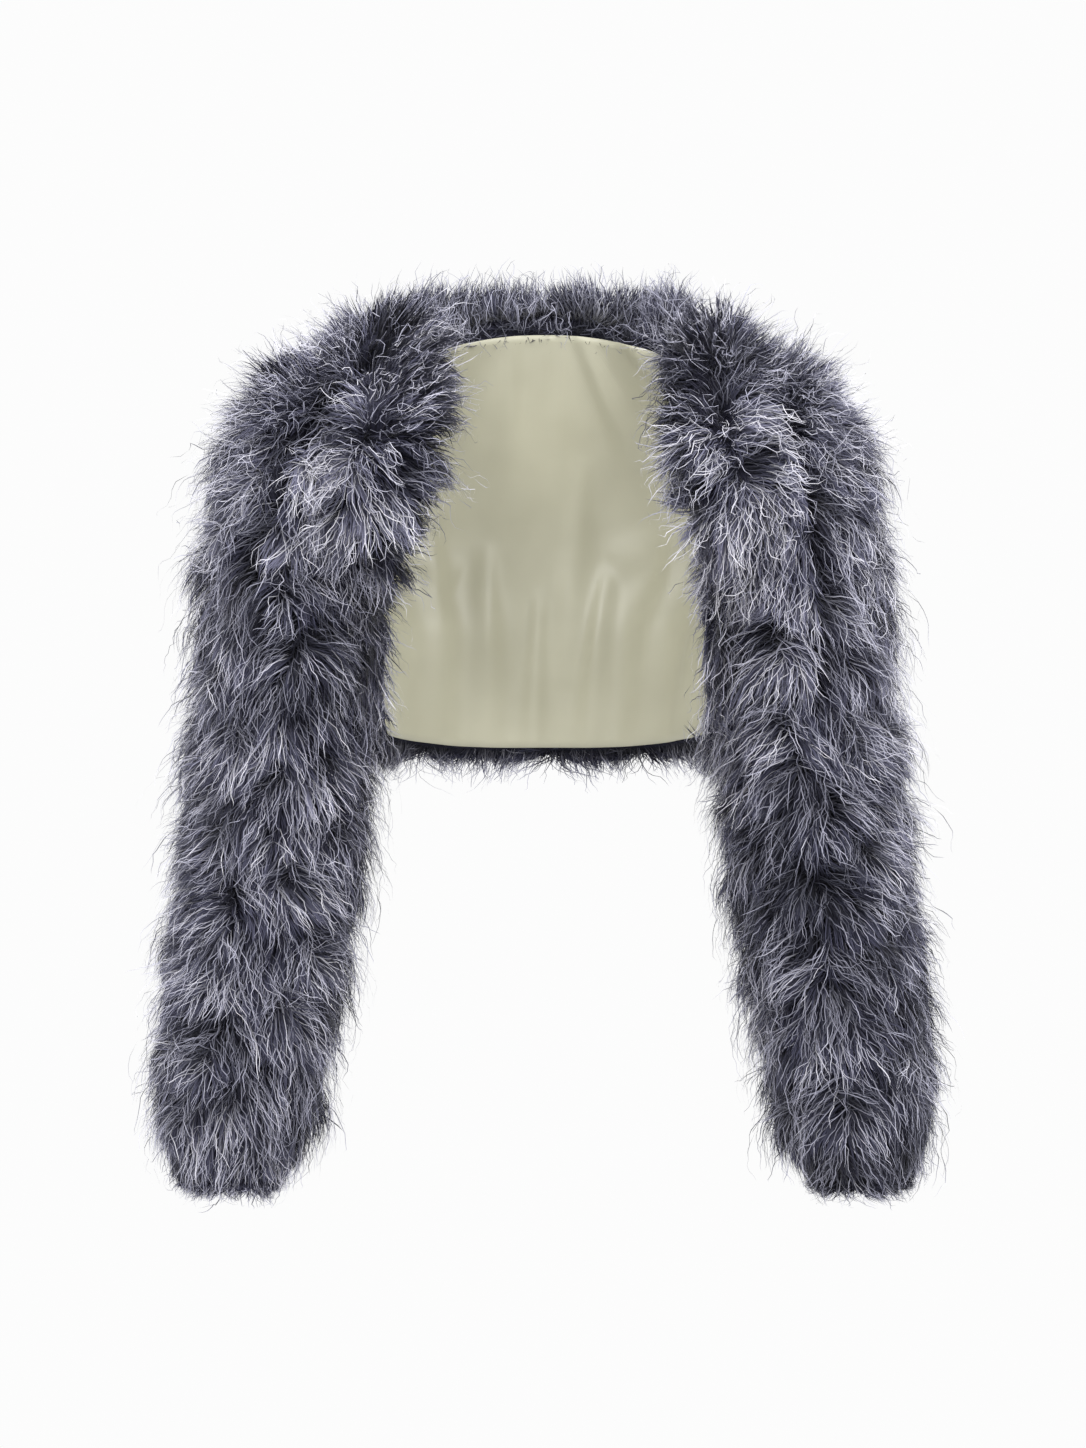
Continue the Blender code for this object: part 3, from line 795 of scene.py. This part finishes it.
def rooted(path, share, points, linings):
    """The path with its root drawn back into the pile where a lining lies between the root and the
    place on the skin."""
    shift = np.zeros_like(points)
    for number, (root, point) in enumerate(zip(path[:, 0], points)):
        way = Vector(root - point)
        hit, _, _, distance = linings.ray_cast(Vector(point), way, way.length)
        if hit:
            shift[number] = way.normalized() * (distance - LINING_CLEAR) - way
    return path + shift[:, None] * (1 - share) ** 1.5


def held(path, share, tree, reach):
    """The path with its end drawn back to within reach of the skin, so that feathers close round
    the edges."""
    ends = path[:, -1]
    off = ends - np.array([tree.find_nearest(Vector(end))[0] for end in ends])
    apart = np.maximum(np.linalg.norm(off, axis=-1), 1e-9)
    back = off * np.clip(1 - reach / apart, 0, 1)[:, None]
    return path - back[:, None] * share**1.5


def within(path):
    """The path kept inside the room that a soft finish has around the solids."""
    low, high = np.array(cad_box[0]), np.array(cad_box[1])
    room = SOFT_SHARE * (high - low) + SOFT_MARGIN
    return np.clip(path, low - room, high + room)


# --- Meshes ---


def strips(name, path, normals, facing, kind, shade):
    """A mesh with a thin strip along each path, pointed at both ends. Its map gives shade across
    and the way from root to tip along."""
    share = np.array(kind.share)
    count, rows = path.shape[:2]
    ahead = unit(np.gradient(path, axis=1))
    side = unit(np.cross(ahead, normals[:, None]))
    twist = rng.normal(0, TWIST, (count, 1, 1))
    side = side * np.cos(twist) + np.cross(ahead, side) * np.sin(twist)
    lit = unit(kind.body * facing[:, None] + (1 - kind.body) * np.cross(side, ahead))
    half = kind.width / 2 * (1 - (1 - TIP_WIDTH) * share**2)
    half = half[None, :, None] * rng.uniform(*WIDTHS, (count, 1, 1))

    order = np.concatenate([[0], np.repeat(np.arange(1, rows - 1), 2), [rows - 1]])
    turns = np.concatenate([[0], np.tile([-1.0, 1.0], rows - 2), [0]])
    each = len(order)
    vertices = path[:, order] + (side * half)[:, order] * turns[None, :, None]
    corners = (np.arange(count)[:, None] * each + strip_corners(each)[None]).ravel()
    mesh = triangle_mesh(name, vertices, corners)
    column = (np.floor(np.clip(shade, 0, 0.999) * SHADES) + 0.5) / SHADES
    put(mesh, "tone", np.repeat(column, each))
    put(mesh, "along", np.tile(share[order], count))
    directions = mesh.attributes.new("custom_normal", "FLOAT_VECTOR", "POINT")
    directions.data.foreach_set("vector", lit[:, order].astype(np.float32).ravel())
    across = column[:, None] + 0.4 / SHADES * turns[None]
    places = np.stack([across, np.broadcast_to(share[order], across.shape)], axis=-1)
    layer = mesh.uv_layers.new(name="OFBake")
    layer.data.foreach_set("uv", places.reshape(-1, 2)[corners].astype(np.float32).ravel())
    return bpy.data.objects.new(name, mesh)


def strip_corners(each):
    """The corners of one strip's triangles, which has a vertex at both ends and pairs between."""
    corners = [[0, 2, 1], [each - 3, each - 2, each - 1]]
    for row in range(1, each - 3, 2):
        corners += [[row, row + 1, row + 2], [row + 1, row + 3, row + 2]]
    return np.ravel(corners)


def triangle_mesh(name, vertices, corners):
    mesh = bpy.data.meshes.new(name)
    mesh.vertices.add(vertices.size // 3)
    mesh.vertices.foreach_set("co", vertices.astype(np.float32).ravel())
    mesh.loops.add(len(corners))
    mesh.loops.foreach_set("vertex_index", corners.astype(np.int32))
    mesh.polygons.add(len(corners) // 3)
    mesh.polygons.foreach_set("loop_start", np.arange(0, len(corners), 3, dtype=np.int32))
    mesh.update(calc_edges=True)
    mesh.shade_smooth()
    return mesh


def put(mesh, name, values):
    """A number for each vertex, which the materials read by name."""
    layer = mesh.attributes.new(name, "FLOAT", "POINT")
    layer.data.foreach_set("value", values.astype(np.float32))


def add_piece(piece, slot, finish, *nodes):
    if piece.name not in bpy.context.scene.collection.objects:
        bpy.context.scene.collection.objects.link(piece)
    piece.data.materials.clear()
    piece.data.materials.append(finish)
    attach(piece, "root")
    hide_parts(*nodes)


# --- Materials ---

# Shades of each feather from the darkest tone to the palest, and how bright it is from its root to
# its tip: the dark roots are partly the feather's own colour and partly painted shade deep in the
# pile
DOWN_SHADES = (
    (0.0, (0.012, 0.012, 0.022)),
    (0.5, (0.067, 0.068, 0.112)),
    (1.0, (0.27, 0.27, 0.38)),
)
BARB_SHADES = (
    (0.0, (0.060, 0.062, 0.088)),
    (0.5, (0.46, 0.46, 0.575)),
    (1.0, (0.93, 0.92, 1.0)),
)
# The undercoat is painted far darker than the down, as the shade deep in the pile
UNDERCOAT_SHADES = (
    (0.0, (0.004, 0.004, 0.008)),
    (0.5, (0.022, 0.022, 0.036)),
    (1.0, (0.06, 0.06, 0.09)),
)
DOWN_ROOT_SHADE = ((0.0, 0.08), (0.35, 0.4), (0.75, 1.0), (1.0, 1.0))
BARB_ROOT_SHADE = ((0.0, 0.08), (0.35, 0.4), (0.7, 1.0), (1.0, 1.0))
SATIN_SHADES = ((0.30, (0.47, 0.455, 0.34)), (0.70, (0.54, 0.525, 0.40)))


def new_material(name):
    """A material, its node tree and its shader."""
    made = bpy.data.materials.new(name)
    made.use_nodes = True
    return made, made.node_tree, made.node_tree.nodes["Principled BSDF"]


def ramp(tree, source, stops):
    """A colour ramp fed by source. Each stop is a place and a colour."""
    node = tree.nodes.new("ShaderNodeValToRGB")
    elements = node.color_ramp.elements
    while len(elements) < len(stops):
        elements.new(0.5)
    for element, (place, colour) in zip(elements, stops):
        element.position = place
        element.color = (*colour, 1)
    tree.links.new(source, node.inputs["Fac"])
    return node.outputs["Color"]


def greys(stops):
    """The stops of a ramp that has one brightness at each place."""
    return [(place, (value,) * 3) for place, value in stops]


def reads(tree, name):
    """What a mesh says under this name."""
    node = tree.nodes.new("ShaderNodeAttribute")
    node.attribute_name = name
    return node.outputs["Fac"]


def times(tree, first, second):
    node = tree.nodes.new("ShaderNodeMix")
    node.data_type = "RGBA"
    node.blend_type = "MULTIPLY"
    node.inputs["Factor"].default_value = 1
    tree.links.new(first, node.inputs["A"])
    tree.links.new(second, node.inputs["B"])
    return node.outputs["Result"]


def feather_material(name, shades, along, roughness):
    """Dyed feather: its shades, and dark to light from root to tip, which is partly its own colour
    and partly painted shade deep in the pile.
    """
    made, tree, shader = new_material(name)
    dye_and_painted_light = ramp(tree, reads(tree, "tone"), shades)
    depth = ramp(tree, reads(tree, "along"), greys(along))
    tree.links.new(times(tree, dye_and_painted_light, depth), shader.inputs["Base Color"])
    shader.inputs["Roughness"].default_value = roughness
    shader.inputs["Sheen Weight"].default_value = 0.1
    shader.inputs["Specular IOR Level"].default_value = 0.2
    return made


def undercoat_material():
    """The felted down in the depth of the pile, painted far darker as the shade down there, with
    fine streaks that run down.
    """
    made, tree, shader = new_material("undercoat")
    place = tree.nodes.new("ShaderNodeTexCoord")
    stretch = tree.nodes.new("ShaderNodeMapping")
    stretch.inputs["Scale"].default_value = (1, 1, 0.12)
    tree.links.new(place.outputs["Object"], stretch.inputs["Vector"])
    streaks = tree.nodes.new("ShaderNodeTexNoise")
    streaks.inputs["Scale"].default_value = 700
    streaks.inputs["Detail"].default_value = 3
    tree.links.new(stretch.outputs["Vector"], streaks.inputs["Vector"])
    streak = ramp(tree, streaks.outputs["Fac"], greys(((0.35, 0.55), (0.70, 1.5))))
    dye_and_painted_light = ramp(tree, reads(tree, "tone"), UNDERCOAT_SHADES)
    tree.links.new(times(tree, dye_and_painted_light, streak), shader.inputs["Base Color"])
    shader.inputs["Roughness"].default_value = 0.9
    shader.inputs["Specular IOR Level"].default_value = 0.1
    return made


def satin_material():
    """Cream satin: a fine twill, a little deeper in some places."""
    made, tree, shader = new_material("cream_satin_finish")
    place = tree.nodes.new("ShaderNodeTexCoord")
    cloud = tree.nodes.new("ShaderNodeTexNoise")
    cloud.inputs["Scale"].default_value = 14
    cloud.inputs["Detail"].default_value = 2
    tree.links.new(place.outputs["Object"], cloud.inputs["Vector"])
    tree.links.new(ramp(tree, cloud.outputs["Fac"], SATIN_SHADES), shader.inputs["Base Color"])
    twill = tree.nodes.new("ShaderNodeTexWave")
    twill.bands_direction = "DIAGONAL"
    twill.inputs["Scale"].default_value = 420
    twill.inputs["Distortion"].default_value = 1.5
    tree.links.new(place.outputs["Object"], twill.inputs["Vector"])
    bump = tree.nodes.new("ShaderNodeBump")
    bump.inputs["Strength"].default_value = 0.12
    bump.inputs["Distance"].default_value = 0.0002
    tree.links.new(twill.outputs["Fac"], bump.inputs["Height"])
    tree.links.new(bump.outputs["Normal"], shader.inputs["Normal"])
    shader.inputs["Roughness"].default_value = 0.42
    shader.inputs["Sheen Weight"].default_value = 0.15
    return made


# --- Feathers ---


def undercoat_depth(number, form, used):
    """How far under the skin one wall's undercoat lies at each vertex. It lies less deep where
    another wall faces it close by, so that no gap opens between them."""
    inset = np.minimum(UNDERCOAT_SHARE * form.depth[used], UNDERCOAT_DEPTH)
    tree = tree_of(form.points, form.faces[form.owners != number])
    for place, vertex in enumerate(used):
        _, facing, _, apart = tree.find_nearest(Vector(form.points[vertex]))
        if facing.dot(Vector(form.normals[vertex])) < 0:
            inset[place] *= min(apart / NEIGHBOUR, 1)
    return inset


def undercoat(number, finish, pile):
    """The shell in the depth of one wall's pile, whose painted shade is darkest in the holes."""
    form = pile.form
    faces = form.faces[form.owners == number]
    used, index = np.unique(faces, return_inverse=True)
    build = bmesh.new()
    inset = build.verts.layers.float.new("inset")
    verts = [build.verts.new(point) for point in form.points[used]]
    for vert, value in zip(verts, undercoat_depth(number, form, used)):
        vert[inset] = value
    for corners in index.reshape(-1, 3):
        build.faces.new([verts[corner] for corner in corners])
    bmesh.ops.subdivide_edges(build, edges=build.edges[:], cuts=1, use_grid_fill=True)
    mesh = bpy.data.meshes.new("undercoat_" + WALLS[number])
    build.to_mesh(mesh)
    build.free()
    points, fine = arrays_of(mesh)
    normals = smooth_normals(points, fine)
    depth = np.array([value.value for value in mesh.attributes["inset"].data])
    lay = lay_of(WALLS[number], points, normals, pile)
    # Its tone carries the pile's painted light and shade, so it is darkest in the holes
    put(mesh, "tone", np.clip(0.5 + lay.shade, 0, 1))
    depth -= UNDERCOAT_RISE * np.maximum(lay.height, 0)
    points = points - normals * depth[:, None]
    mesh.vertices.foreach_set("co", points.ravel())
    mesh.update()
    mesh.shade_smooth()
    add_piece(bpy.data.objects.new(mesh.name, mesh), FEATHER_SLOT, finish, WALLS[number])


def plume(number, kind_name, finish, pile):
    """All strands of one kind on one wall, as one mesh."""
    wall = WALLS[number]
    kind = KINDS[kind_name]
    path, normals, facing, shade = strands(wall, kind, pile.form.owners == number, pile)
    piece = strips(f"{kind_name}_{wall}", within(path), normals, facing, kind, 0.5 + shade)
    add_piece(piece, FEATHER_SLOT, finish, wall)


def feathers():
    pile = SimpleNamespace(form=fur_form())
    pile.tree = tree_of(pile.form.points, pile.form.faces)
    pile.whorls = whorls_on(pile.form)
    pile.tufts = tufts_on(pile.form)
    pile.locks = locks_on(pile.form)
    dark = undercoat_material()
    finishes = {
        "down": feather_material("down", DOWN_SHADES, DOWN_ROOT_SHADE, 0.75),
        "barbs": feather_material("barbs", BARB_SHADES, BARB_ROOT_SHADE, 0.6),
    }
    for number in range(len(WALLS)):
        undercoat(number, dark, pile)
        for kind_name, finish in finishes.items():
            plume(number, kind_name, finish, pile)


# --- Linings ---

# Soft creases in the linings, from one end to the other. Each end is its way round the piece from
# the middle and its height. Then come the crease's width and how far it stands into the hollow.
BACK_CREASES = (
    (-0.140, 0.050, -0.050, -0.060, 0.008, 0.0048),
    (-0.108, 0.050, -0.070, -0.016, 0.006, 0.0034),
    (-0.150, -0.010, -0.060, -0.110, 0.009, 0.0040),
    (-0.150, -0.110, -0.064, -0.160, 0.010, 0.0044),
    (-0.078, -0.100, -0.096, -0.330, 0.012, 0.0070),
    (-0.036, 0.050, -0.026, -0.110, 0.011, 0.0030),
    (-0.044, -0.130, -0.054, -0.330, 0.013, 0.0056),
    (-0.004, -0.170, -0.014, -0.340, 0.010, 0.0060),
    (0.012, 0.050, 0.004, -0.100, 0.012, 0.0026),
    (0.030, -0.060, 0.016, -0.250, 0.011, 0.0036),
    (0.036, 0.050, 0.070, -0.070, 0.009, 0.0050),
    (0.074, 0.056, 0.124, -0.030, 0.007, 0.0050),
    (0.092, 0.040, 0.150, -0.080, 0.006, 0.0036),
    (0.150, -0.090, 0.050, -0.150, 0.010, 0.0042),
    (0.048, -0.150, 0.038, -0.340, 0.012, 0.0066),
    (0.092, -0.120, 0.080, -0.340, 0.013, 0.0070),
    (0.140, -0.120, 0.118, -0.320, 0.011, 0.0050),
)
FRONT_CREASES = (
    (0.120, -0.020, 0.118, -0.120, 0.010, 0.0016),
    (0.135, -0.140, 0.128, -0.250, 0.011, 0.0016),
)
SLEEVE_CREASES = (
    (-0.040, -0.060, 0.020, -0.260, 0.014, 0.0030),
    (0.050, -0.180, -0.010, -0.340, 0.013, 0.0035),
    (-0.050, -0.330, 0.010, -0.420, 0.010, 0.0040),
    (0.045, -0.360, 0.000, -0.450, 0.010, 0.0035),
    (0.010, -0.470, 0.018, -0.640, 0.009, 0.0024),
    (-0.035, -0.500, -0.028, -0.630, 0.009, 0.0022),
)
# How each lining is cut: its flat size and the area that is left of it. Then come its creases and
# how often its mesh is subdivided
BACK_CUT = ((0.43, 0.36), 0.120, BACK_CREASES, 2)
FRONT_CUT = ((0.09, 0.30), 0.0158, FRONT_CREASES, 2)
SLEEVE_CUT = ((0.44, 0.61), 0.143, SLEEVE_CREASES, 1)
# The middle of the trunk's hollow from front to back, and the radii that turns are measured at
TRUNK_MIDDLE = -0.01
TRUNK_RADIUS = 0.105
ARM_RADIUS = 0.045
# Small unevenness of the cloth: its depth and the size of its lumps
RIPPLE, RIPPLE_SIZE = 0.0004, 0.022


def crease_depth(creases, s, height):
    """How far the cloth stands into the hollow at each point."""
    total = np.zeros(len(s))
    for s0, h0, s1, h1, width, depth in creases:
        along = np.array((s1 - s0, h1 - h0))
        place = np.stack([s - s0, height - h0], axis=-1)
        share = np.clip(place @ along / (along @ along), 0, 1)
        off = np.linalg.norm(place - share[:, None] * along, axis=-1)
        spread = width * (0.5 + share)
        total += depth * np.sqrt(4 * share * (1 - share)) * bell(off, spread)
    return total


def trunk_frame(points):
    """The way round the trunk, and the direction into its hollow."""
    turn = np.arctan2(points[:, 0], points[:, 1] - TRUNK_MIDDLE)
    inward = -np.stack([np.sin(turn), np.cos(turn), 0 * turn], axis=-1)
    return turn * TRUNK_RADIUS, inward


def sleeve_frame(points, top, end):
    """The way round a sleeve, and the direction into its hollow."""
    share = np.clip((points[:, 2] - top[2]) / (end[2] - top[2]), 0, 1)[:, None]
    off = points - (top + share * (end - top))
    off[:, 2] = 0
    return np.arctan2(off[:, 0], -off[:, 1]) * ARM_RADIUS, -unit(off)


def smooth_copy(node, levels):
    """A node's mesh in quads, subdivided, with its sharp edges kept."""
    build = bmesh.new()
    build.from_mesh(frame["nodes"][node].data)
    bmesh.ops.remove_doubles(build, verts=build.verts[:], dist=1e-5)
    bmesh.ops.join_triangles(
        build, faces=build.faces[:], angle_face_threshold=0.6, angle_shape_threshold=0.9,
        cmp_seam=False, cmp_sharp=False, cmp_uvs=False, cmp_vcols=False, cmp_materials=False,
    )
    sharpness = build.edges.layers.float.new("crease_edge")
    for edge in build.edges:
        edge[sharpness] = float(edge.calc_face_angle(0) > 1)
    mesh = bpy.data.meshes.new(node + "_satin")
    build.to_mesh(mesh)
    build.free()
    piece = bpy.data.objects.new(mesh.name, mesh)
    bpy.context.scene.collection.objects.link(piece)
    subdivide = piece.modifiers.new("smooth", "SUBSURF")
    subdivide.levels = subdivide.render_levels = levels
    graph = bpy.context.evaluated_depsgraph_get()
    piece.data = bpy.data.meshes.new_from_object(piece.evaluated_get(graph))
    piece.modifiers.clear()
    piece.data.name = mesh.name + "_form"
    return piece


def lining(node, cut, frame_of, finish):
    """A lining of the node's own form, with its creases."""
    flat, area, creases, levels = cut
    piece = smooth_copy(node, levels)
    points = arrays_of(piece.data)[0]
    round_way, inward = frame_of(points)
    depth = crease_depth(creases, round_way, points[:, 2])
    depth += RIPPLE * (1 + noise(points, RIPPLE_SIZE, 8))
    points = points + inward * depth[:, None]
    piece.data.vertices.foreach_set("co", points.ravel())
    piece.data.update()
    piece.data.shade_smooth()
    add_piece(piece, SATIN_SLOT, finish, node)


def linings():
    satin = satin_material()
    lining("lining_back", BACK_CUT, trunk_frame, satin)
    for side in ("left", "right"):
        lining("lining_front_" + side, FRONT_CUT, trunk_frame, satin)
        sleeve = "lining_sleeve_" + side
        top, end = slice_middle(sleeve, 0.8, 1), slice_middle(sleeve, 0, 0.05)
        lining(sleeve, SLEEVE_CUT, partial(sleeve_frame, top=top, end=end), satin)


# --- Studio ---

# How bright the white surroundings look, and are as a light
BACKDROP = 0.975
SKY_LIGHT = 0.42
# Lights: where each is, its size and its power. All are aimed at the middle of the bolero
LIGHTS = {
    "key": ((-0.9, -2.6, 1.6), 1.2, 56),
    "fill": ((1.4, -2.4, 1.7), 1.4, 58),
    "top": ((0, 0.3, 2.2), 1.4, 34),
    "side_right": ((-2.3, 0.4, -0.1), 1.2, 26),
    "side_left": ((2.3, 0.4, -0.1), 1.2, 26),
}
AIM = (0, 0, -0.25)
FLOOR_HEIGHT = -1.35
FLOOR_RADIUS = 2.6


def area_light(name, place, size, power):
    data = bpy.data.lights.new(name, "AREA")
    data.size = size
    data.energy = power
    light = bpy.data.objects.new(name, data)
    bpy.context.scene.collection.objects.link(light)
    light.location = place
    light.rotation_euler = (Vector(AIM) - Vector(place)).to_track_quat("-Z", "Y").to_euler()


def surroundings():
    """White all round, which the camera sees brighter than it lights the bolero."""
    world = bpy.data.worlds.new("studio")
    world.use_nodes = True
    tree = world.node_tree
    sky = tree.nodes["Background"]
    sky.inputs["Color"].default_value = (BACKDROP, BACKDROP, BACKDROP, 1)
    seen = tree.nodes.new("ShaderNodeLightPath")
    power = tree.nodes.new("ShaderNodeMapRange")
    power.inputs["To Min"].default_value = SKY_LIGHT
    power.inputs["To Max"].default_value = 1.0
    tree.links.new(seen.outputs["Is Camera Ray"], power.inputs["Value"])
    tree.links.new(power.outputs["Result"], sky.inputs["Strength"])
    bpy.context.scene.world = world


def place_camera():
    """A level camera before the middle of the photograph, which takes in all its height."""
    middle_x, middle_z = in_metres(PHOTO_WIDE / 2, PHOTO_HIGH / 2)
    data = bpy.data.cameras.new("camera")
    data.sensor_width = SENSOR
    data.lens = SENSOR * CAMERA_DISTANCE / (PHOTO_HIGH * PIXEL)
    camera = bpy.data.objects.new("camera", data)
    bpy.context.scene.collection.objects.link(camera)
    camera.location = (middle_x, -CAMERA_DISTANCE, middle_z)
    camera.rotation_euler = (math.pi / 2, 0, 0)
    bpy.context.scene.camera = camera


def floor():
    bpy.ops.mesh.primitive_circle_add(
        vertices=96, radius=FLOOR_RADIUS, fill_type="NGON", location=(0, 0, FLOOR_HEIGHT)
    )
    made = bpy.context.object
    made.name = "floor"
    paper, _, shader = new_material("paper")
    shader.inputs["Base Color"].default_value = (0.85, 0.85, 0.84, 1)
    shader.inputs["Roughness"].default_value = 0.9
    made.data.materials.append(paper)


def studio():
    bpy.context.scene.view_settings.view_transform = "Standard"
    surroundings()
    place_camera()
    for name, light in LIGHTS.items():
        area_light(name, *light)
    floor()


linings()
feathers()
studio()
bpy.context.view_layer.update()
